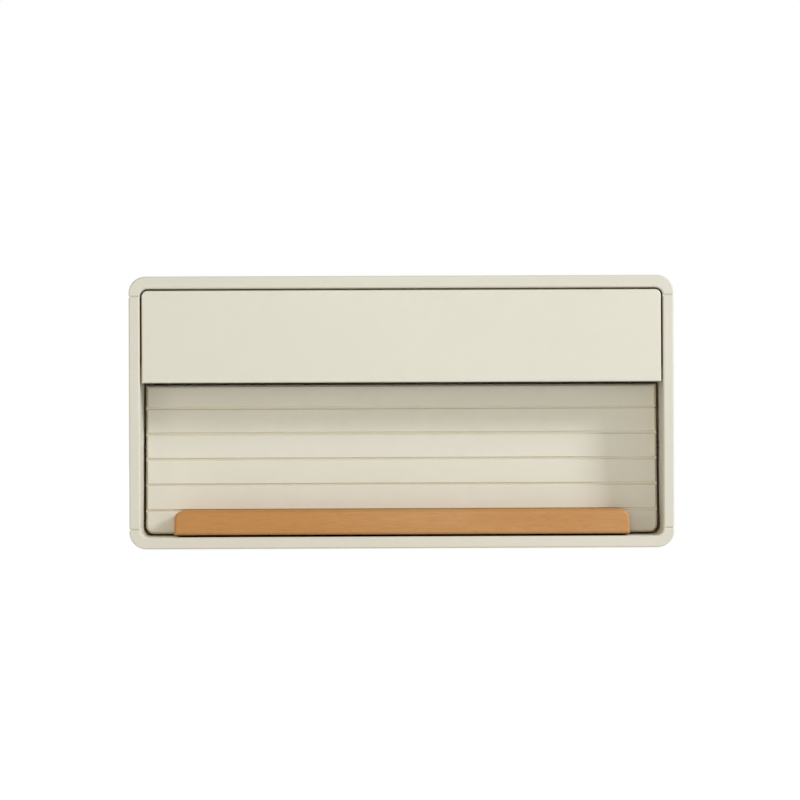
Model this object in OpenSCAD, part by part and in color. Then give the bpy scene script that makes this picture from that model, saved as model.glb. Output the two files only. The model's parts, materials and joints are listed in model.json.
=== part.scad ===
// Bread box with a roll top: a lacquered wooden case, a fixed fascia and a stiff slatted roll top
// that rolls up on guide pins in curved tracks and stows behind the fascia.
// Units are millimetres. X runs left to right, Y front to back, Z up.
// The origin is the middle of the footprint, on the surface that the felt pads stand on.

/* [Case] */
// Width of the case
case_w = 420; // [400:1:460]
// Depth of the case
case_d = 260; // [250:1:290]
// Height of the case without its felt pads
case_h = 210; // [208:1:224]
// Thickness of the side boards
side_t = 8.5; // [8:0.1:10]
// Thickness of the top cover
cover_t = 9.6; // [9:0.1:10.4]
// Thickness of the base
base_t = 9; // [8:0.1:9.5]
// Radius of the outer corners, seen from the front
outer_r = 13; // [10:0.5:14]
// Radius of the inner corners, seen from the front
inner_r = 6; // [5:0.5:7]
// Bevel of the case's eased edges and of its seams
ease = 1; // [0.6:0.1:1.2]

/* [Fascia] */
// Height of the fascia's lower edge above the underside of the base
fascia_low = 127.9; // [124:0.1:130]
// Thickness of the fascia
fascia_t = 6; // [5:0.1:6.5]
// Gap between the fascia and the case
fascia_gap = 1.5; // [1:0.1:1.8]
// Distance of the fascia's face behind the front of the case
fascia_set = 0; // [0:0.1:0.6]
// Bevel of the fascia's edges
fascia_ease = 0.8; // [0.4:0.1:1]
// Width and depth of the cleats behind the fascia
cleat_w = 14; // [13:0.5:16]
// Height of the cleats' lower ends above the fascia's lower edge
cleat_rise = 12; // [10:1:14]
// Gap between the cleats' upper ends and the ceiling
cleat_drop = 10.9; // [8:0.1:16]

/* [Roll top] */
// Distance of the roll top's lower edge behind the front of the case
roll_set = 27; // [26:0.5:29]
// Angle that the roll top leans back by
roll_lean = 3.7; // [2:0.1:5]
// Distance between the roll top's face and the axis that it turns about
roll_r = 140; // [134:0.5:142]
// Thickness of the slats
slat_t = 6; // [5.6:0.1:7]
// Distance between the grooves. The first and the last slat are trimmed to fit.
slat_pitch = 20; // [19.5:0.1:20.5]
// Height of the grooves between the slats' faces
groove_h = 1.8; // [1:0.1:2.4]
// Depth of the grooves
groove_depth = 1.4; // [0.6:0.1:1.5]
// Bevel of the grooves' edges
groove_ease = 0.4; // [0.2:0.1:0.5]
// Bevel round the roll top's face
roll_ease = 1.5; // [0.8:0.1:1.6]
// Gap between the slats' ends and the side boards
end_gap = 1.9; // [1.4:0.1:2.2]
// Gap between the lead slat and the base
floor_gap = 1.6; // [1.2:0.1:2]
// Height of the fascia's lower edge above the highest slat
head_gap = 1.7; // [1.4:0.1:2]
// Radius of the lead slat's lower corners
lead_r = 6; // [4:0.5:6.5]
// Angle that the roll top turns through to open
open_deg = 48; // [40:1:50]
// Width of the battens across the slats' inner faces
batten_w = 14; // [12:0.5:16]
// Thickness of the battens
batten_t = 6; // [5:0.5:7]
// Distance between the battens and the slats' ends
batten_edge = 16; // [12:1:20]

/* [Tracks] */
// Diameter of the guide pins
pin_d = 3.6; // [3:0.1:3.8]
// Length of the pins inside the slats
pin_in = 8; // [6:1:12]
// Depth of the tracks
track_depth = 3; // [2.6:0.1:3.4]

/* [Handle] */
// Length of the handle
handle_l = 351; // [320:1:360]
// Height of the handle
handle_h = 18.5; // [18:0.1:20]
// Gap between the handle and the base
handle_lift = 1.7; // [1.5:0.1:2.4]
// Radius of the handle's upper corners
handle_r = 6.8; // [5:0.1:7.5]
// Bevel of the handle's edges
handle_ease = 1.5; // [0.8:0.1:1.8]
// Width of the finger groove
grip_w = 14; // [12:0.5:15]
// Length of the finger groove
grip_l = 300; // [240:1:305]
// Depth of the finger groove
grip_depth = 7; // [5:0.5:8]
// Thickness of the wood in front of the finger groove
grip_lip = 8.5; // [7:0.5:9]

/* [Back] */
// Thickness of the back panel
back_t = 4; // [3:0.5:5]
// Distance of the back panel inside the rear of the case
back_set = 3; // [2:0.5:4]
// Width of the rebate that holds the back panel
rebate_w = 5; // [4.8:0.1:5.4]
// Diameter of the vent holes
vent_d = 4; // [3:0.5:4]
// Distance between vent holes
vent_pitch = 14; // [12:1:18]
// Vent holes in a row
vent_cols = 9; // [5:2:11]
// Rows of vent holes
vent_rows = 3; // [1:1:4]
// Height of the middle row above the underside of the base
vent_h = 150; // [120:1:160]

/* [Small parts] */
// Diameter of the felt pads
pad_d = 18; // [14:1:22]
// Thickness of the felt pads
pad_t = 2.5; // [2:0.1:3]
// How far the felt pads stand out of the base
pad_proud = 1; // [0.6:0.1:1.4]
// Distance between the pads' centres and the case's outer faces
pad_edge = 28; // [24:1:36]
// Diameter of the dowels
dowel_d = 4; // [3:0.5:4.5]
// Length of the dowels
dowel_l = 14; // [10:1:14]
// Diameter of the closing bumpers
bumper_d = 5; // [4:0.5:5.5]
// Distance of the closing bumpers from the middle of the case
bumper_x = 150; // [120:1:160]
// Diameter of the wood screws' shanks
screw_d = 3; // [2.5:0.1:3.2]
// Diameter of the wood screws' heads
screw_head_d = 6; // [5:0.1:6.2]
// Diameter of the back screws' shanks
back_screw_d = 2; // [1.8:0.1:2.2]
// Diameter of the back screws' heads
back_head_d = 4; // [3.6:0.1:4.2]

/* [Hidden] */
$fn = 120;

CREAM = [0.86, 0.85, 0.78];
BEECH = [0.75, 0.56, 0.36];
STEEL = [0.70, 0.71, 0.72];
BLACK = [0.10, 0.10, 0.10];
FELT = [0.35, 0.33, 0.31];

// Clearances
glue_gap = 0.05;        // round a pin or dowel in its own hole
glue_line = 0.1;        // between two glued faces
track_gap = 0.1;        // between a guide pin and each wall of its track
tip_gap = 0.5;          // between a guide pin's tip and the bottom of the track
stop_gap = 0.3;         // left at a stop, so that nothing is pressed
panel_gap = 0.3;        // round the back panel in its rebate
over = 1;               // how far a cutting shape reaches past the surface that it cuts
reach = 400;            // longer than any part of the case

// Levels and faces of the case
under_z = pad_proud;
floor_z = under_z + base_t;
top_z = under_z + case_h;
ceiling_z = top_z - cover_t;
mid_z = (floor_z + ceiling_z) / 2;
base_seam_z = floor_z + inner_r;
cover_seam_z = ceiling_z - inner_r;
front_y = -case_d / 2;
rear_y = case_d / 2;
inside_x = case_w / 2 - side_t;
inside_h = ceiling_z - floor_z;
shoulder_y = rear_y - back_set - back_t;

// Fascia
fascia_y = front_y + fascia_set;
fascia_back_y = fascia_y + fascia_t;
fascia_low_z = under_z + fascia_low;
fascia_top_z = ceiling_z - fascia_gap;
fascia_x = inside_x - fascia_gap;
fascia_r = inner_r - fascia_gap;
cleat_z = fascia_low_z + cleat_rise;
cleat_h = ceiling_z - cleat_drop - cleat_z;
cleat_mid_y = fascia_back_y + cleat_w / 2;
cleat_mid_x = inside_x - cleat_w / 2;

// Roll top. In its own frame it stands upright: X is along the slats, Y runs inwards from its
// face, and Z runs up its face from its lower edge.
roll_x = inside_x - end_gap;
lead_low_z = floor_z + floor_gap;
face_y = front_y + roll_set;
roll_h = (fascia_low_z - head_gap - lead_low_z) / cos(roll_lean);
slat_count = 6;
slat_trim = (slat_count * slat_pitch - groove_h - roll_h) / 2;

// Guide pins: one in the lead slat and one in the third slat above it, both on one circle.
// Angles are measured at the roll top's axis, from straight ahead, upwards.
pin_slats = [0, 3];
pin_heights = [for (i = pin_slats) slat_mid(i)];
pin_mid_h = (pin_heights[0] + pin_heights[1]) / 2;
pin_half = (pin_heights[1] - pin_heights[0]) / 2;
pin_half_deg = atan(pin_half / (roll_r - slat_t / 2));
axis_y = face_y + pin_mid_h * sin(roll_lean) + roll_r * cos(roll_lean);
axis_z = lead_low_z + pin_mid_h * cos(roll_lean) - roll_r * sin(roll_lean);

// Tracks
track_r = sqrt(pow(roll_r - slat_t / 2, 2) + pow(pin_half, 2));
track_w = pin_d + 2 * track_gap;
deg_per_mm = 180 / (PI * track_r);
pin_out = end_gap + track_depth - tip_gap;
track_low_deg = roll_lean - pin_half_deg - 2 * stop_gap * deg_per_mm;
stop_deg = roll_lean + pin_half_deg + open_deg + (pin_d + stop_gap) * deg_per_mm;

// Battens and their screws
batten_inset = 4;       // between a batten's ends and the roll top's upper and lower edges
batten_x = roll_x - batten_edge - batten_w / 2;
batten_screw_in = 4;

// Handle
handle_low_z = floor_z + handle_lift;
handle_top_z = handle_low_z + handle_h;
handle_screw_x = [-120, 0, 120];
handle_screw_d = 3.5;
handle_head_d = 7;
handle_head_t = 2.5;
handle_screw_in = 18;

// Back panel and its screws
back_screw_edge = 2.6;
back_screw_in = 8;
back_head_t = 1.6;
back_screw_x = [-150, -50, 50, 150];
back_screw_z = [-50, 50];

// Screws of the fascia's cleats
head_t = 2;
fascia_bite = 4;
side_bite = 5;
fascia_screw_share = 0.36;
cleat_screw_share = 0.2;

// Dowels: by the front, before and behind the tracks' upper ends, and by the back panel
dowel_edge = 18;
dowel_before = 85;
dowel_behind = 5;
dowel_y = [front_y + dowel_edge, axis_y - dowel_before, axis_y + dowel_behind, shoulder_y - dowel_edge];

// Closing bumpers
bumper_in = 1.5;
bumper_proud = floor_gap - stop_gap;
bumper_y = face_y + slat_t / 2;

// ---- shared shapes ----

// A point at a radius and an angle about the roll top's axis, in the Y-Z plane
function at_roll(r, a) = [-r * cos(a), r * sin(a)];

// Heights of a slat's lower edge, upper edge and middle in the roll top's frame. The lead slat
// is number 0.
function slat_low(i) = i == 0 ? 0 : i * slat_pitch - slat_trim;
function slat_high(i) = i == slat_count - 1 ? roll_h : (i + 1) * slat_pitch - slat_trim - groove_h;
function slat_mid(i) = (slat_low(i) + slat_high(i)) / 2;

// A profile drawn in Y and Z, extruded along X about the middle of the case
module along_x(length) {
    rotate([90, 0, 90])
        linear_extrude(length, center = true)
            children();
}

// A profile drawn in X and Z, extruded from one Y to another
module along_y(from, to) {
    translate([0, to, 0])
        rotate([90, 0, 0])
            linear_extrude(to - from)
                children();
}

// Places its children at both sides of the case, the right one as a mirror image
module both_sides() {
    children();
    mirror([1, 0, 0])
        children();
}

// A rectangle with round corners, centred
module round_rect(w, h, r) {
    square([w - 2 * r, h], center = true);
    square([w, h - 2 * r], center = true);
    for (x = [-1, 1], y = [-1, 1])
        translate([x * (w / 2 - r), y * (h / 2 - r)])
            circle(r);
}

// A rectangle from z0 to z1 whose two corners at z0 are round
module foot_round_rect(w, z0, z1, r) {
    translate([-w / 2, z0 + r])
        square([w, z1 - z0 - r]);
    translate([r - w / 2, z0])
        square([w - 2 * r, r + over]);
    for (x = [-1, 1])
        translate([x * (w / 2 - r), z0 + r])
            circle(r);
}

// A box with a bevel along every edge
module eased_box(size, bevel) {
    intersection() {
        linear_extrude(size[2])
            bevel_rect(size[0], size[1], bevel);
        translate([0, size[1], 0])
            rotate([90, 0, 0])
                linear_extrude(size[1])
                    bevel_rect(size[0], size[2], bevel);
        rotate([90, 0, 90])
            linear_extrude(size[0])
                bevel_rect(size[1], size[2], bevel);
    }
}

// A rectangle with four cut corners, from the origin
module bevel_rect(w, h, bevel) {
    polygon([[bevel, 0], [w - bevel, 0], [w, bevel], [w, h - bevel],
             [w - bevel, h], [bevel, h], [0, h - bevel], [0, bevel]]);
}

// Cuts a bevel along a round-cornered outline at a flat face (local Z is out of that face).
// side is 1 where the outline bounds the part from outside and -1 round an opening.
module rim_bevel(w, h, r, bevel, side) {
    m = over / 2;
    profile = [[-side * (bevel + m), m], [side * m, m], [side * m, -bevel - m]];
    for (x = [0, 1], y = [0, 1])
        mirror([x, 0, 0])
            mirror([0, y, 0])
                translate([w / 2 - r, h / 2 - r, 0])
                    rotate_extrude(angle = 90)
                        translate([r, 0])
                            polygon(profile);
    for (y = [0, 1])
        mirror([0, y, 0])
            translate([0, h / 2, 0])
                rotate([90, 0, 90])
                    linear_extrude(w - 2 * r, center = true)
                        polygon(profile);
    for (x = [0, 1])
        mirror([x, 0, 0])
            translate([w / 2, 0, 0])
                rotate([90, 0, 0])
                    linear_extrude(h - 2 * r, center = true)
                        polygon(profile);
}

// Bevels the rim of a panel's face. The face looks along -Y and runs from Z = 0 to h, and its
// two corners at h are round; at Z = 0 the bevel is straight.
module face_rim(w, h, r, bevel) {
    rotate([90, 0, 0])
        rim_bevel(w, 2 * h, r, bevel, 1);
    rotate([45, 0, 0])
        cube([w + 2 * over, bevel * sqrt(2), bevel * sqrt(2)], center = true);
}

// ---- case ----

// Bevels along the outer and inner edges of the case's front and rear
module case_edge_cuts() {
    translate([0, front_y, (under_z + top_z) / 2])
        rotate([90, 0, 0])
            rim_bevel(case_w, case_h, outer_r, ease, 1);
    translate([0, front_y, mid_z])
        rotate([90, 0, 0])
            rim_bevel(2 * inside_x, inside_h, inner_r, ease, -1);
    translate([0, rear_y, (under_z + top_z) / 2])
        rotate([-90, 0, 0])
            rim_bevel(case_w, case_h, outer_r, ease, 1);
}

// The V grooves that run round the case at a seam
module seam_cuts(z) {
    along_y(front_y - over, rear_y + over)
        for (x = [-1, 1])
            translate([x * case_w / 2, z])
                rotate(45)
                    square(ease * sqrt(2), center = true);
    for (x = [-1, 1], y = [front_y, rear_y])
        translate([x * (case_w / 2 - side_t / 2), y, z])
            rotate([45, 0, 0])
                cube([side_t + 2 * over, ease * sqrt(2), ease * sqrt(2)], center = true);
}

// The rebate for the back panel
module rebate_cut() {
    translate([0, 0, mid_z])
        along_y(shoulder_y, rear_y + over)
            round_rect(2 * (inside_x + rebate_w), inside_h + 2 * rebate_w, inner_r + rebate_w);
}

// Pilot holes for the back panel's screws
module back_screw_holes() {
    back_screw_places()
        rotate([90, 0, 0])
            cylinder(d = back_screw_d + 2 * glue_gap, h = back_screw_in + glue_line);
}

// Holes for the dowels of one seam
module dowel_holes(z) {
    for (x = [-1, 1], y = dowel_y)
        translate([x * (case_w / 2 - side_t / 2), y, z])
            cylinder(d = dowel_d + 2 * glue_gap, h = dowel_l + 2 * glue_line, center = true);
}

// The case's four walls as one ring, between two heights
module case_ring(z0, z1) {
    intersection() {
        along_y(front_y, rear_y)
            difference() {
                translate([0, (under_z + top_z) / 2])
                    round_rect(case_w, case_h, outer_r);
                translate([0, mid_z])
                    round_rect(2 * inside_x, inside_h, inner_r);
            }
        translate([-reach, -reach, z0])
            cube([2 * reach, 2 * reach, z1 - z0]);
    }
}

module top_cover() {
    color(CREAM)
        difference() {
            case_ring(cover_seam_z, top_z + over);
            case_edge_cuts();
            seam_cuts(cover_seam_z);
            rebate_cut();
            back_screw_holes();
            dowel_holes(cover_seam_z);
            both_sides()
                track_cut();
        }
}

module base() {
    color(CREAM)
        difference() {
            case_ring(under_z - over, base_seam_z);
            case_edge_cuts();
            seam_cuts(base_seam_z);
            rebate_cut();
            back_screw_holes();
            dowel_holes(base_seam_z);
            both_sides()
                track_cut();
            pad_places()
                cylinder(d = pad_d + 2 * glue_gap, h = pad_t);
            bumper_places(-bumper_in - glue_line)
                cylinder(d = bumper_d + 2 * glue_gap, h = bumper_in + over);
        }
}

// The track at the left, round at both of its closed ends
module track_cut() {
    translate([-inside_x - track_depth, axis_y, axis_z]) {
        rotate([90 - stop_deg, 0, 0])
            rotate([90, 0, 90])
                rotate([0, 0, 90])
                    rotate_extrude(angle = stop_deg - track_low_deg)
                        translate([track_r - track_w / 2, 0])
                            square([track_w, track_depth + over]);
        for (a = [track_low_deg, stop_deg])
            translate([0, at_roll(track_r, a)[0], at_roll(track_r, a)[1]])
                rotate([0, 90, 0])
                    cylinder(d = track_w, h = track_depth + over);
    }
}

// Holes in the left side board for the screws of its cleat
module cleat_screw_holes() {
    left_cleat_screw_places()
        rotate([0, -90, 0])
            cylinder(d = screw_d + 2 * glue_gap, h = cleat_w + side_bite + glue_line);
}

module side_board() {
    difference() {
        translate([-case_w / 2, front_y, base_seam_z])
            cube([side_t, case_d, cover_seam_z - base_seam_z]);
        case_edge_cuts();
        seam_cuts(base_seam_z);
        seam_cuts(cover_seam_z);
        rebate_cut();
        back_screw_holes();
        dowel_holes(base_seam_z);
        dowel_holes(cover_seam_z);
        track_cut();
        cleat_screw_holes();
    }
}

module left_side() {
    color(CREAM)
        side_board();
}

module right_side() {
    color(CREAM)
        mirror([1, 0, 0])
            side_board();
}

module back_panel() {
    color(CREAM)
        difference() {
            translate([0, 0, mid_z])
                along_y(shoulder_y, shoulder_y + back_t)
                    round_rect(2 * (inside_x + rebate_w - panel_gap),
                               inside_h + 2 * (rebate_w - panel_gap),
                               inner_r + rebate_w - panel_gap);
            back_screw_places()
                rotate([90, 0, 0])
                    cylinder(d = back_screw_d + 2 * glue_gap, h = 3 * back_t, center = true);
            for (i = [0:vent_cols - 1], j = [0:vent_rows - 1])
                translate([(i - (vent_cols - 1) / 2) * vent_pitch, shoulder_y - over,
                           under_z + vent_h + (j - (vent_rows - 1) / 2) * vent_pitch])
                    rotate([-90, 0, 0])
                        cylinder(d = vent_d, h = back_t + 2 * over);
        }
}

// Puts its children at the back panel's screws, at the panel's rear face
module back_screw_places() {
    screw_x = inside_x + back_screw_edge;
    screw_z = inside_h / 2 + back_screw_edge;
    translate([0, shoulder_y, mid_z]) {
        for (x = back_screw_x, z = [-screw_z, screw_z])
            translate([x, 0, z])
                children();
        for (x = [-screw_x, screw_x], z = back_screw_z)
            translate([x, 0, z])
                children();
    }
}

module back_screws() {
    color(STEEL)
        back_screw_places() {
            translate([0, back_t, 0])
                rotate([-90, 0, 0])
                    cylinder(d1 = back_head_d, d2 = back_head_d * 0.6, h = back_head_t);
            translate([0, back_t, 0])
                rotate([90, 0, 0])
                    cylinder(d = back_screw_d, h = back_t + back_screw_in);
        }
}

module dowels(z) {
    color(BEECH)
        for (x = [-1, 1], y = dowel_y)
            translate([x * (case_w / 2 - side_t / 2), y, z])
                cylinder(d = dowel_d, h = dowel_l, center = true);
}

module cover_dowels() {
    dowels(cover_seam_z);
}

module base_dowels() {
    dowels(base_seam_z);
}

// Puts its children at the pads' centres, on the standing surface
module pad_places() {
    for (x = [-1, 1], y = [-1, 1])
        pad_place(x, y)
            children();
}

module pad_place(x, y) {
    translate([x * (case_w / 2 - pad_edge), y * (case_d / 2 - pad_edge), 0])
        children();
}

module pad(x, y) {
    color(FELT)
        pad_place(x, y)
            cylinder(d = pad_d, h = pad_t - glue_line);
}

module front_left_pad() {
    pad(-1, -1);
}

module front_right_pad() {
    pad(1, -1);
}

module rear_left_pad() {
    pad(-1, 1);
}

module rear_right_pad() {
    pad(1, 1);
}

// Puts its children at the closing bumpers, at a height above the floor
module bumper_places(rise) {
    for (x = [-1, 1])
        translate([x * bumper_x, bumper_y, floor_z + rise])
            children();
}

module closing_bumpers() {
    color(BLACK)
        bumper_places(-bumper_in)
            cylinder(d = bumper_d, h = bumper_in + bumper_proud);
}

// ---- fascia ----

module fascia() {
    height = fascia_top_z - fascia_low_z;
    color(CREAM)
        difference() {
            translate([0, 0, fascia_top_z + fascia_low_z])
                mirror([0, 0, 1])
                    along_y(fascia_y, fascia_back_y)
                        foot_round_rect(2 * fascia_x, fascia_low_z, fascia_top_z, fascia_r);
            translate([0, fascia_y, fascia_low_z])
                face_rim(2 * fascia_x, height, fascia_r, fascia_ease);
            translate([0, fascia_back_y, fascia_low_z])
                mirror([0, 1, 0])
                    face_rim(2 * fascia_x, height, fascia_r, fascia_ease);
            fascia_screw_places()
                rotate([90, 0, 0])
                    cylinder(d = screw_d + 2 * glue_gap, h = cleat_w + fascia_bite + glue_line);
        }
}

// Puts its children at the fascia's screws, at the rear face of each cleat
module fascia_screw_places() {
    for (x = [-1, 1], z = [fascia_screw_share, 1 - fascia_screw_share])
        translate([x * cleat_mid_x, fascia_back_y + cleat_w, cleat_z + z * cleat_h])
            children();
}

// Puts its children at the left cleat's own screws, at its face towards the middle
module left_cleat_screw_places() {
    for (z = [cleat_screw_share, 1 - cleat_screw_share])
        translate([cleat_w - inside_x, cleat_mid_y, cleat_z + z * cleat_h])
            children();
}

// A countersunk wood screw: its head's face at the origin, pointing down
module wood_screw(length) {
    translate([0, 0, -length])
        cylinder(d = screw_d, h = length);
    translate([0, 0, -head_t])
        cylinder(d1 = screw_d, d2 = screw_head_d, h = head_t);
}

// The hole for a countersunk wood screw through a part
module wood_screw_hole(length) {
    translate([0, 0, -length])
        cylinder(d = screw_d + 2 * glue_gap, h = length);
    translate([0, 0, -head_t - glue_gap])
        cylinder(d1 = screw_d + 2 * glue_gap, d2 = screw_head_d + 2 * glue_gap, h = head_t + 2 * glue_gap);
}

module fascia_cleat() {
    difference() {
        translate([-inside_x, fascia_back_y, cleat_z])
            eased_box([cleat_w, cleat_w, cleat_h], fascia_ease);
        left_cleat_screw_places()
            rotate([0, 90, 0])
                wood_screw_hole(cleat_w + over);
        fascia_screw_places()
            rotate([-90, 0, 0])
                wood_screw_hole(cleat_w + over);
    }
}

module left_fascia_cleat() {
    color(BEECH)
        fascia_cleat();
}

module right_fascia_cleat() {
    color(BEECH)
        mirror([1, 0, 0])
            fascia_cleat();
}

module fascia_screws() {
    color(STEEL)
        fascia_screw_places()
            rotate([-90, 0, 0])
                wood_screw(cleat_w + fascia_bite);
}

module cleat_screws() {
    color(STEEL)
        both_sides()
            left_cleat_screw_places()
                rotate([0, 90, 0])
                    wood_screw(cleat_w + side_bite);
}

// ---- roll top ----

// Puts its children, drawn in the roll top's own frame, where it rests
module in_roll_top() {
    translate([0, face_y, lead_low_z])
        rotate([-roll_lean, 0, 0])
            children();
}

// A slat's section in the roll top's Y and Z, with the step that makes the groove above it
module slat_section(number, tongue) {
    from = slat_low(number);
    top = slat_high(number);
    polygon([[groove_ease, from], [slat_t, from], [slat_t, top + tongue], [groove_depth, top + tongue],
             [groove_depth, top], [groove_ease, top], [0, top - groove_ease], [0, from + groove_ease]]);
}

// Bevels the roll top's face along its ends, its lower edge and its round lower corners, and
// along its upper edge
module roll_rim_cut() {
    translate([0, 0, roll_h])
        mirror([0, 0, 1])
            face_rim(2 * roll_x, roll_h, lead_r, roll_ease);
}

// Holes for the left guide pin of a slat
module pin_hole(number) {
    left_pin_place(number)
        translate([0, 0, -pin_in - glue_line])
            cylinder(d = pin_d + 2 * glue_gap, h = pin_in + over);
}

// Puts its children at a slat's left guide pin, at the slat's end, pointing left
module left_pin_place(number) {
    translate([-roll_x, slat_t / 2, slat_mid(number)])
        rotate([0, -90, 0])
            children();
}

// The slat of a number, counted up from the lead slat
module slat(number) {
    tongue = number < slat_count - 1 ? groove_h : 0;
    color(CREAM)
        in_roll_top()
            difference() {
                along_x(2 * roll_x)
                    slat_section(number, tongue);
                roll_rim_cut();
                batten_screw_holes();
                if (number == pin_slats[1])
                    both_sides()
                        pin_hole(number);
            }
}

module slat_1() {
    slat(5);
}

module slat_2() {
    slat(4);
}

module slat_3() {
    slat(3);
}

module slat_4() {
    slat(2);
}

module slat_5() {
    slat(1);
}

// The lowest slat, cut level at its lower edge
module lead_slat() {
    color(CREAM)
        difference() {
            intersection() {
                in_roll_top()
                    along_x(2 * roll_x)
                        difference() {
                            slat_section(0, groove_h);
                            translate([-over, -over])
                                square([over + groove_ease, over + 2 * groove_ease]);
                        }
                along_y(front_y, axis_y)
                    foot_round_rect(2 * roll_x, lead_low_z, axis_z, lead_r);
            }
            in_roll_top() {
                roll_rim_cut();
                batten_screw_holes();
                both_sides()
                    pin_hole(0);
                handle_screw_places() {
                    cylinder(d = handle_screw_d + 2 * glue_gap, h = 2 * slat_t);
                    cylinder(d1 = handle_head_d + 2 * glue_gap, d2 = handle_screw_d + 2 * glue_gap,
                             h = handle_head_t);
                }
            }
        }
}

// Puts its children at the battens' screws, at the battens' inner faces, pointing outwards
module batten_screw_places() {
    for (x = [-batten_x, batten_x], i = [0:slat_count - 1])
        translate([x, slat_t + glue_line + batten_t, slat_mid(i)])
            rotate([90, 0, 0])
                children();
}

module batten_screw_holes() {
    batten_screw_places()
        cylinder(d = back_screw_d + 2 * glue_gap, h = batten_t + glue_line + batten_screw_in + glue_line);
}

module batten() {
    color(BEECH)
        in_roll_top()
            difference() {
                translate([-batten_x - batten_w / 2, slat_t + glue_line, batten_inset])
                    eased_box([batten_w, batten_t, roll_h - 2 * batten_inset], fascia_ease);
                batten_screw_places() {
                    cylinder(d = back_screw_d + 2 * glue_gap, h = 2 * batten_t, center = true);
                    translate([0, 0, -glue_gap])
                        cylinder(d1 = back_head_d + 2 * glue_gap, d2 = back_screw_d + 2 * glue_gap,
                                 h = back_head_t + 2 * glue_gap);
                }
            }
}

module left_batten() {
    batten();
}

module right_batten() {
    mirror([1, 0, 0])
        batten();
}

module batten_screws() {
    color(STEEL)
        in_roll_top()
            batten_screw_places() {
                cylinder(d = back_screw_d, h = batten_t + glue_line + batten_screw_in);
                cylinder(d1 = back_head_d, d2 = back_screw_d, h = back_head_t);
            }
}

module guide_pins() {
    in_roll_top()
        for (i = pin_slats)
            left_pin_place(i)
                translate([0, 0, -pin_in])
                    cylinder(d = pin_d, h = pin_in + pin_out);
}

module left_guide_pins() {
    color(BLACK)
        guide_pins();
}

module right_guide_pins() {
    color(BLACK)
        mirror([1, 0, 0])
            guide_pins();
}

module open_stop() {
    translate([-inside_x, axis_y + at_roll(track_r, stop_deg)[0], axis_z + at_roll(track_r, stop_deg)[1]])
        rotate([0, -90, 0])
            cylinder(d = track_w - 2 * glue_gap, h = track_depth - glue_line);
}

module left_open_stop() {
    color(BLACK)
        open_stop();
}

module right_open_stop() {
    color(BLACK)
        mirror([1, 0, 0])
            open_stop();
}

// ---- handle ----

// Puts its children at the handle's screws, on the lead slat's inner face, pointing outwards, in
// the roll top's own frame
module handle_screw_places() {
    for (x = handle_screw_x)
        translate([x, slat_t, slat_mid(0)])
            rotate([90, 0, 0])
                children();
}

module handle() {
    groove_y = front_y + grip_lip + grip_w / 2;
    color(BEECH)
        difference() {
            translate([0, 0, handle_top_z + handle_low_z])
                mirror([0, 0, 1])
                    along_y(front_y, face_y + slat_t)
                        foot_round_rect(handle_l, handle_low_z, handle_top_z, handle_r);
            translate([0, front_y, handle_low_z])
                face_rim(handle_l, handle_h, handle_r, handle_ease);
            in_roll_top()
                translate([-reach, -glue_line, -reach])
                    cube(2 * reach);
            translate([0, groove_y, handle_top_z - grip_depth]) {
                translate([(grip_w - grip_l) / 2, -grip_w / 2, 0])
                    cube([grip_l - grip_w, grip_w, grip_depth + over]);
                for (x = [-1, 1])
                    translate([x * (grip_l - grip_w) / 2, 0, 0])
                        cylinder(d = grip_w, h = grip_depth + over);
            }
            in_roll_top()
                handle_screw_places()
                    cylinder(d = handle_screw_d + 2 * glue_gap, h = slat_t + handle_screw_in + glue_line);
        }
}

module handle_screws() {
    color(STEEL)
        in_roll_top()
            handle_screw_places() {
                cylinder(d1 = handle_head_d, d2 = handle_screw_d, h = handle_head_t);
                cylinder(d = handle_screw_d, h = slat_t + handle_screw_in);
            }
}

top_cover();
base();
left_side();
right_side();
back_panel();
fascia();
left_fascia_cleat();
right_fascia_cleat();
slat_1();
slat_2();
slat_3();
slat_4();
slat_5();
lead_slat();
left_batten();
right_batten();
batten_screws();
left_guide_pins();
right_guide_pins();
handle();
handle_screws();
left_open_stop();
right_open_stop();
closing_bumpers();
fascia_screws();
cleat_screws();
back_screws();
cover_dowels();
base_dowels();
front_left_pad();
front_right_pad();
rear_left_pad();
rear_right_pad();
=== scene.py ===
import json
import math

import bpy
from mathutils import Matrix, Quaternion, Vector


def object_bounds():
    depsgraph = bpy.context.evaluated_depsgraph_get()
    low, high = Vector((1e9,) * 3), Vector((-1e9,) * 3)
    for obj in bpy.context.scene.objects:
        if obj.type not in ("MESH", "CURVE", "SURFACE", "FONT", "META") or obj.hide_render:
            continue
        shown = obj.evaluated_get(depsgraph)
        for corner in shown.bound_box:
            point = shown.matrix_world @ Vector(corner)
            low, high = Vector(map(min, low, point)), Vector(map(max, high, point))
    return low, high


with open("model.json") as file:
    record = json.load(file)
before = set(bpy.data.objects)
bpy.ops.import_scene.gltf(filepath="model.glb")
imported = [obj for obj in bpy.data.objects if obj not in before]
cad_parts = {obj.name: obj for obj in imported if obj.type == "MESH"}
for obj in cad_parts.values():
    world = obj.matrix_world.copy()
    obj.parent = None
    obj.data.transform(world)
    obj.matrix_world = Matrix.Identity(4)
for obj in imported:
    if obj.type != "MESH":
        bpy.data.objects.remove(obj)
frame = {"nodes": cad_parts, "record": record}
cad_low, cad_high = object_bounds()
nodes = frame["nodes"]

MM = 0.001
EVEN = (1.0, 1.0, 1.0)       # a noise that isn't stretched

# Distances within which a material looks for other surfaces. Inside a body they stay short of the
# bores that lie close behind a face.
EDGE_REACH = 1.0 * MM
LACQUER_NOOK_REACH = 8.0 * MM
BEECH_NOOK_REACH = 4.0 * MM

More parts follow.
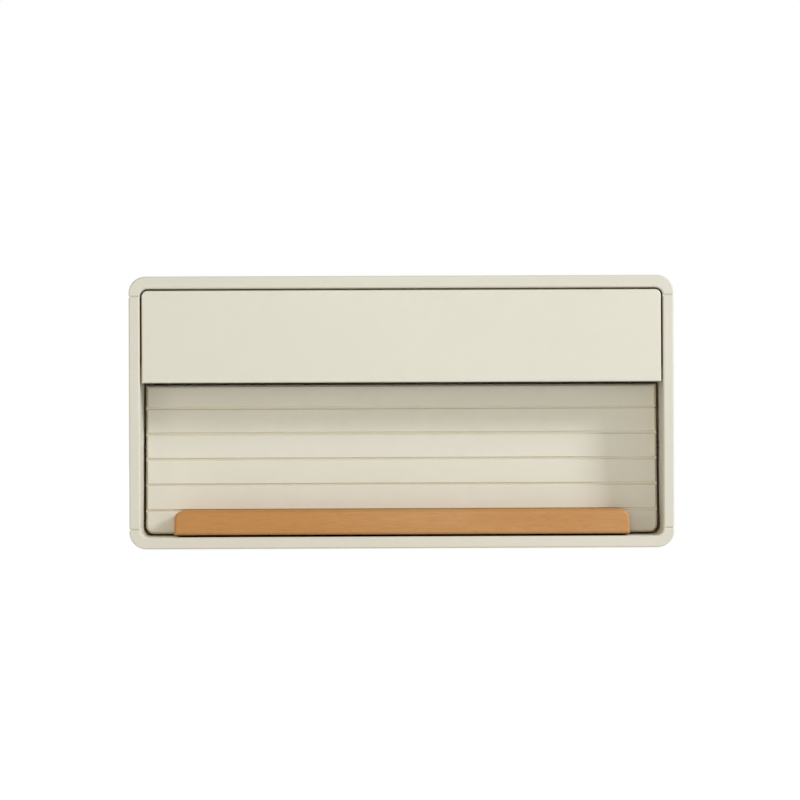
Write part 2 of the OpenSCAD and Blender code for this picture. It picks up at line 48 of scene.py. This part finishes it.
# Soft edges of the CAD nodes
EDGE_WIDTH = 0.4 * MM
HANDLE_EDGE_WIDTH = 1.3 * MM
EDGE_SEGMENTS = 3
EDGE_ANGLE = math.radians(28)
WELD_DISTANCE = 0.002 * MM
FLAT_ANGLE = math.radians(0.5)

# Colours
LACQUER_THIN = (0.766, 0.741, 0.652)
LACQUER_FULL = (0.778, 0.753, 0.663)
# painted highlight along outer edges of the lacquer
LACQUER_EDGE_HIGHLIGHT = (0.97, 0.96, 0.88)
# painted shade: tan in corners and grooves
LACQUER_CORNER_SHADE = (0.82, 0.65, 0.38)
# painted shade: near black in narrow gaps
LACQUER_GAP_SHADE = (0.020, 0.015, 0.010)
BEECH_WARM = (0.560, 0.262, 0.072)
BEECH_PALE = (0.615, 0.332, 0.130)
BEECH_BAND = (0.505, 0.225, 0.058)
BEECH_FIBRE = (0.450, 0.190, 0.050)
BEECH_FLECK = (0.330, 0.130, 0.035)
# painted highlight along outer edges of the beech
BEECH_EDGE_HIGHLIGHT = (0.840, 0.520, 0.250)
# painted shade: near black in gaps
BEECH_GAP_SHADE = (0.07, 0.028, 0.010)

# Stage
FLOOR_SIZE = 6.0
FLOOR_DROP = 0.2 * MM
FLOOR_WHITE_SHARE = 0.8      # the rest keeps the object's shadow
FLOOR_GLOW = 1.15
AMBIENT_COLOUR = (1.0, 0.97, 0.91)
AMBIENT_STRENGTH = 0.29

# Camera, in metres
CAMERA_DISTANCE = 2.002      # from the front of the case
FOCAL_MM = 117.0
SENSOR_MM = 36.0
EYE_RIGHT = -0.015           # of the object's middle
EYE_HEIGHT = 0.1152
AIM_RIGHT = -0.0013
ROLL = math.radians(0.23)

# ---- node materials ----

MIX_FACTOR, MIX_FIRST, MIX_SECOND, MIX_RESULT = 0, 6, 7, 2     # the RGBA sockets of a Mix node


def seen_directly(tree):
    """1 for rays that show the background to the camera, straight, in a mirror or through glass."""
    path = tree.nodes.new("ShaderNodeLightPath")
    seen = path.outputs["Is Camera Ray"]
    for kind in ("Is Glossy Ray", "Is Transmission Ray"):
        either = tree.nodes.new("ShaderNodeMath")
        either.operation = "MAXIMUM"
        tree.links.new(seen, either.inputs[0])
        tree.links.new(path.outputs[kind], either.inputs[1])
        seen = either.outputs[0]
    return seen


class Nodes:
    """A small builder for one material's node tree."""

    def __init__(self, name):
        self.material = bpy.data.materials.new(name)
        self.material.use_nodes = True
        self.tree = self.material.node_tree
        self.tree.nodes.clear()
        self.output = self.add("ShaderNodeOutputMaterial")
        self.shader = self.add("ShaderNodeBsdfPrincipled")
        self.link(self.shader.outputs["BSDF"], self.output.inputs["Surface"])

    def add(self, kind, **settings):
        made = self.tree.nodes.new(kind)
        for key, value in settings.items():
            setattr(made, key, value)
        return made

    def link(self, source, target):
        self.tree.links.new(source, target)

    def place(self, stretch):
        """Object coordinates, stretched by a vector."""
        coordinates = self.add("ShaderNodeTexCoord")
        mapping = self.add("ShaderNodeMapping")
        mapping.inputs["Scale"].default_value = stretch
        self.link(coordinates.outputs["Object"], mapping.inputs["Vector"])
        return mapping.outputs["Vector"]

    def noise(self, stretch, scale, detail=2.0, rough=0.5, distortion=0.0):
        made = self.add("ShaderNodeTexNoise")
        made.inputs["Scale"].default_value = scale
        made.inputs["Detail"].default_value = detail
        made.inputs["Roughness"].default_value = rough
        made.inputs["Distortion"].default_value = distortion
        self.link(self.place(stretch), made.inputs["Vector"])
        return made.outputs["Fac"]

    def nearness(self, distance, inside=False):
        """How much of the surroundings another surface fills within a distance: 0 is none, 1 is
        all. Inside the body it tells an outer edge, and outside it a gap, groove or corner."""
        made = self.add("ShaderNodeAmbientOcclusion", inside=inside, samples=6, only_local=inside)
        made.inputs["Distance"].default_value = distance
        flip = self.add("ShaderNodeMath", operation="SUBTRACT")
        flip.inputs[0].default_value = 1.0
        self.link(made.outputs["AO"], flip.inputs[1])
        return flip.outputs[0]

    def facing_up(self):
        """1 on a face that looks up, 0 on an upright one, -1 on one that looks down."""
        parts = self.add("ShaderNodeSeparateXYZ")
        self.link(self.add("ShaderNodeNewGeometry").outputs["Normal"], parts.inputs[0])
        return parts.outputs["Z"]

    def times(self, first, second):
        made = self.add("ShaderNodeMath", operation="MULTIPLY")
        self.link(first, made.inputs[0])
        self.link(second, made.inputs[1])
        return made.outputs[0]

    def nook(self, distance):
        """Nearness in gaps, grooves and corners, without faces that look down at the ground."""
        not_under = self.spread(self.facing_up(), -0.9, -0.5, 0.0, 1.0)
        return self.times(self.nearness(distance), not_under)

    def spread(self, source, low, high, to_low, to_high):
        """Maps low..high of a value to to_low..to_high, clamped."""
        made = self.add("ShaderNodeMapRange", clamp=True)
        made.inputs["From Min"].default_value = low
        made.inputs["From Max"].default_value = high
        made.inputs["To Min"].default_value = to_low
        made.inputs["To Max"].default_value = to_high
        self.link(source, made.inputs["Value"])
        return made.outputs["Result"]

    def mix(self, factor, first, second):
        """Mixes two colours, each given as a tuple or as a socket."""
        made = self.add("ShaderNodeMix", data_type="RGBA")
        self.link(factor, made.inputs[MIX_FACTOR])
        for place, value in ((MIX_FIRST, first), (MIX_SECOND, second)):
            if isinstance(value, tuple):
                made.inputs[place].default_value = (*value, 1.0)
            else:
                self.link(value, made.inputs[place])
        return made.outputs[MIX_RESULT]

    def bump(self, source, distance, strength):
        made = self.add("ShaderNodeBump")
        made.inputs["Distance"].default_value = distance
        made.inputs["Strength"].default_value = strength
        self.link(source, made.inputs["Height"])
        return made.outputs["Normal"]

    def finish(self, colour, roughness, normal, **values):
        """Links what varies over the surface and sets what doesn't."""
        self.link(colour, self.shader.inputs["Base Color"])
        self.link(roughness, self.shader.inputs["Roughness"])
        self.link(normal, self.shader.inputs["Normal"])
        for name, value in values.items():
            self.shader.inputs[name.replace("_", " ")].default_value = value
        return self.material


def shaded(colour, shade):
    return tuple(shade * part for part in colour)


def cream_lacquer(name, shade, gap_shade_from):
    """Satin lacquer with a painted highlight along outer edges, painted tan shade in corners and
    painted dark shade where nearness passes the given threshold.
    """
    m = Nodes(name)
    cloud = m.noise(EVEN, 9.0, 3.0)
    thick = m.spread(cloud, 0.35, 0.65, 0.0, 1.0)
    colour = m.mix(thick, shaded(LACQUER_THIN, shade), shaded(LACQUER_FULL, shade))

    # Painted highlight: outer edges are made paler.
    edge_highlight = m.spread(m.nearness(EDGE_REACH, inside=True), 0.15, 0.45, 0.0, 1.0)
    colour = m.mix(edge_highlight, colour, LACQUER_EDGE_HIGHLIGHT)
    # Painted shade: tan in corners and grooves and near black in narrow gaps, driven by nearness to
    # other surfaces.
    near = m.nook(LACQUER_NOOK_REACH)
    colour = m.mix(m.spread(near, 0.25, 0.60, 0.0, 0.50), colour, LACQUER_CORNER_SHADE)
    colour = m.mix(m.spread(near, gap_shade_from, gap_shade_from + 0.18, 0.0, 0.98), colour, LACQUER_GAP_SHADE)

    film = m.noise(EVEN, 160.0, 3.0)
    roughness = m.spread(film, 0.3, 0.7, 0.36, 0.46)
    peel = m.noise(EVEN, 900.0, 2.0, 0.45)
    normal = m.bump(peel, 0.04 * MM, 0.35)
    return m.finish(colour, roughness, normal, Specular_IOR_Level=0.45)


def beech():
    """Oiled beech with its fibres along the box's width, with a painted highlight along outer edges
    and painted shade in gaps.
    """
    m = Nodes("beech")
    patch = m.noise((0.6, 2.0, 2.0), 9.0, 2.0)
    colour = m.mix(m.spread(patch, 0.38, 0.64, 0.0, 1.0), BEECH_WARM, BEECH_PALE)
    bands = m.noise((1.0, 14.0, 14.0), 9.0, 4.0, 0.55, 0.6)
    colour = m.mix(m.spread(bands, 0.34, 0.66, 0.0, 0.42), colour, BEECH_BAND)
    fibre = m.noise((1.0, 30.0, 30.0), 60.0, 3.0, 0.6)
    colour = m.mix(m.spread(fibre, 0.40, 0.75, 0.0, 0.62), colour, BEECH_FIBRE)
    fleck = m.noise((1.0, 7.0, 7.0), 260.0, 0.0)
    colour = m.mix(m.spread(fleck, 0.72, 0.80, 0.0, 0.35), colour, BEECH_FLECK)

    # Level faces get no painted edge highlight, because screw holes lie close below the floor of
    # the finger groove.
    edge_highlight = m.spread(m.nearness(EDGE_REACH, inside=True), 0.15, 0.50, 0.0, 0.80)
    not_level = m.spread(m.facing_up(), 0.90, 0.99, 1.0, 0.0)
    colour = m.mix(m.times(edge_highlight, not_level), colour, BEECH_EDGE_HIGHLIGHT)
    # Painted shade: near black in gaps and nooks.
    gap_shade = m.spread(m.nook(BEECH_NOOK_REACH), 0.78, 0.95, 0.0, 0.90)
    colour = m.mix(gap_shade, colour, BEECH_GAP_SHADE)

    roughness = m.spread(fibre, 0.3, 0.7, 0.42, 0.56)
    normal = m.bump(fibre, 0.06 * MM, 0.4)
    return m.finish(colour, roughness, normal, Specular_IOR_Level=0.4)


def mottled(name, dark, light, smooth, rough, scale, depth, **values):
    """A material with mottled colour and roughness and a fine bump."""
    m = Nodes(name)
    grain = m.noise(EVEN, scale, 3.0)
    colour = m.mix(m.spread(grain, 0.3, 0.7, 0.0, 1.0), dark, light)
    roughness = m.spread(grain, 0.3, 0.7, smooth, rough)
    return m.finish(colour, roughness, m.bump(grain, depth, 0.5), **values)


MATERIALS = {
    "cream_lacquer": cream_lacquer("cream_lacquer", 0.962, 0.66),
    "beech": beech(),
    "nylon": mottled("nylon", (0.020, 0.020, 0.020), (0.035, 0.035, 0.034),
                     0.42, 0.55, 700.0, 0.03 * MM),
    "rubber": mottled("rubber", (0.018, 0.018, 0.018), (0.032, 0.031, 0.030),
                      0.70, 0.85, 600.0, 0.05 * MM),
    "steel": mottled("steel", (0.50, 0.50, 0.49), (0.64, 0.64, 0.63),
                     0.28, 0.42, 500.0, 0.02 * MM, Metallic=1.0),
    "felt": mottled("felt", (0.085, 0.075, 0.068), (0.150, 0.135, 0.120),
                    0.92, 1.0, 1800.0, 0.3 * MM),
}
FRONT_LACQUER = cream_lacquer("front_lacquer", 1.003, 0.76)    # the fascia and slats are paler

slots = {row["node"]: row["material_slot"] for row in frame["record"]["subparts"]}


def material_of(name):
    front = name in ("fascia", "lead_slat") or name.startswith("slat_")
    return FRONT_LACQUER if front else MATERIALS[slots[name]]


def finish_node(name, width):
    """Gives a CAD node its material and soft edges."""
    piece = nodes[name]
    piece.data.materials.clear()
    piece.data.materials.append(material_of(name))
    weld = piece.modifiers.new("weld", "WELD")
    weld.merge_threshold = WELD_DISTANCE
    flat = piece.modifiers.new("flat", "DECIMATE")
    flat.decimate_type = "DISSOLVE"
    flat.angle_limit = FLAT_ANGLE
    soft = piece.modifiers.new("soft", "BEVEL")
    soft.width = width
    soft.segments = EDGE_SEGMENTS
    soft.limit_method = "ANGLE"
    soft.angle_limit = EDGE_ANGLE
    soft.harden_normals = True
    soft.use_clamp_overlap = True


for name in nodes:
    finish_node(name, HANDLE_EDGE_WIDTH if name == "handle" else EDGE_WIDTH)

# ---- stage, light and camera ----

centre = (cad_low + cad_high) / 2


def pale_surface(name, share):
    """White to the camera and in reflections, with some of the real shading kept for shadows."""
    m = Nodes(name)
    m.shader.inputs["Base Color"].default_value = (0.86, 0.86, 0.85, 1)
    m.shader.inputs["Roughness"].default_value = 0.9
    glow = m.add("ShaderNodeEmission")
    glow.inputs["Color"].default_value = (1, 1, 1, 1)
    glow.inputs["Strength"].default_value = FLOOR_GLOW
    part = m.add("ShaderNodeMath", operation="MULTIPLY")
    part.inputs[1].default_value = share
    m.link(seen_directly(m.tree), part.inputs[0])
    blend = m.add("ShaderNodeMixShader")
    m.link(part.outputs[0], blend.inputs[0])
    m.link(m.shader.outputs["BSDF"], blend.inputs[1])
    m.link(glow.outputs[0], blend.inputs[2])
    m.link(blend.outputs[0], m.output.inputs["Surface"])
    return m.material


bpy.ops.mesh.primitive_plane_add(size=FLOOR_SIZE, location=(0, 0, cad_low.z - FLOOR_DROP))
floor = bpy.context.object
floor.name = "floor"
floor.data.materials.append(pale_surface("floor_white", FLOOR_WHITE_SHARE))


def background(tree, colour, strength):
    made = tree.nodes.new("ShaderNodeBackground")
    made.inputs["Color"].default_value = (*colour, 1.0)
    made.inputs["Strength"].default_value = strength
    return made.outputs[0]


world = bpy.data.worlds.new("studio")
bpy.context.scene.world = world
world.use_nodes = True
tree = world.node_tree
tree.nodes.clear()
choose = tree.nodes.new("ShaderNodeMixShader")
sky = tree.nodes.new("ShaderNodeOutputWorld")
tree.links.new(seen_directly(tree), choose.inputs[0])
tree.links.new(background(tree, AMBIENT_COLOUR, AMBIENT_STRENGTH), choose.inputs[1])
tree.links.new(background(tree, (1.0, 1.0, 1.0), 1.0), choose.inputs[2])
tree.links.new(choose.outputs[0], sky.inputs["Surface"])


def lamp(name, direction, distance, width, height, power, colour):
    """A soft light that looks at the middle of the object."""
    data = bpy.data.lights.new(name, "AREA")
    data.color = colour
    data.shape = "RECTANGLE"
    data.size = width
    data.size_y = height
    data.energy = power
    made = bpy.data.objects.new(name, data)
    bpy.context.scene.collection.objects.link(made)
    towards = Vector(direction).normalized()
    made.location = centre + towards * distance
    made.rotation_euler = (-towards).to_track_quat("-Z", "Y").to_euler()


# The lower lamps stay above the floor, which would hide part of them.
lamp("key", (0.755, -0.433, 0.472), 3.2, 0.65, 0.65, 63.0, (0.92, 0.955, 1.0))
lamp("front_fill", (0.0, -1.0, 0.07), 2.6, 0.7, 0.7, 10.5, (1.0, 0.97, 0.83))
lamp("left_fill", (-0.6, -0.8, 0.10), 2.4, 0.8, 0.8, 4.0, (1.0, 0.88, 0.62))
lamp("rear_fill", (-0.72, 0.62, 0.13), 2.4, 2.0, 0.7, 27.0, (1.0, 0.98, 0.95))

camera_data = bpy.data.cameras.new("camera")
camera_data.lens = FOCAL_MM
camera_data.sensor_width = SENSOR_MM
camera_data.clip_start = 0.05
camera_data.clip_end = 50.0
camera = bpy.data.objects.new("camera", camera_data)
bpy.context.scene.collection.objects.link(camera)
camera.location = (EYE_RIGHT, cad_low.y - CAMERA_DISTANCE, EYE_HEIGHT)
aim = Vector((AIM_RIGHT, cad_low.y, EYE_HEIGHT)) - camera.location
camera.rotation_mode = "QUATERNION"
level = aim.to_track_quat("-Z", "Y")
camera.rotation_quaternion = level @ Quaternion((0, 0, 1), -ROLL)
bpy.context.scene.camera = camera
bpy.context.scene.view_settings.view_transform = "Standard"
